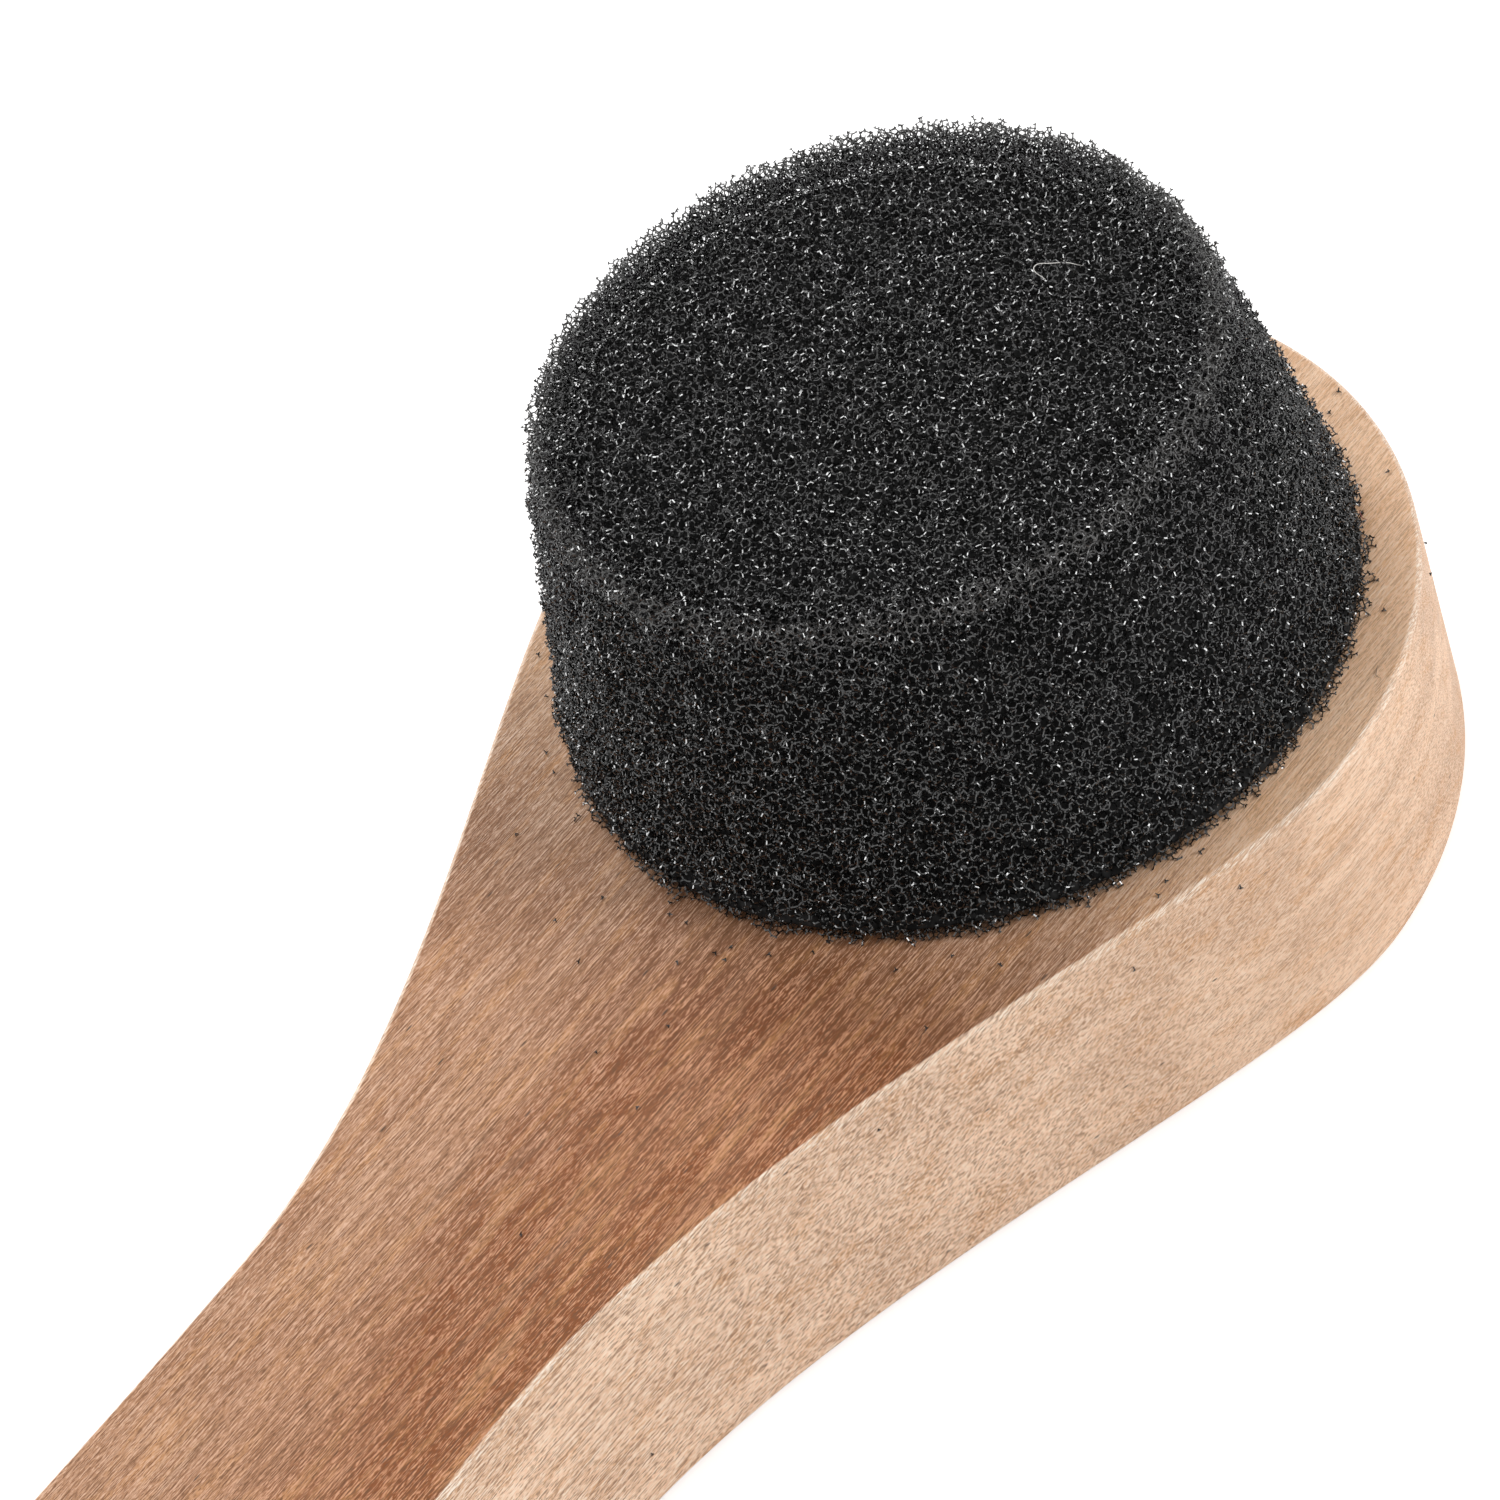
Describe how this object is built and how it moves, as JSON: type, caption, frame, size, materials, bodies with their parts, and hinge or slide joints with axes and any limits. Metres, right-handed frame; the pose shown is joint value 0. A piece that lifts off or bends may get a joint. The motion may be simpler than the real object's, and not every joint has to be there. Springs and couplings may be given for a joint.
{
  "type": "shoe brush",
  "caption": "Flat wooden paddle handle with a round head that carries a thick round pad of open-cell foam for putting polish on shoes.",
  "frame": {"origin": "on the flat back, in the middle of the length and width", "axes": "+X along the handle towards the tip of the head, +Y across the handle, +Z out of the face, through the foam pad"},
  "size_m": [0.17, 0.054, 0.0373],
  "materials": {
    "pale_wood": "sanded and unlacquered, fine grain along the handle",
    "clear_glue": "dried contact glue",
    "black_foam": "open-cell foam with glossy black struts"
  },
  "bodies": {
    "root": {"wooden_handle": "pale_wood", "glue_layer": "clear_glue", "sponge_pad": "black_foam"}
  },
  "joints": []
}
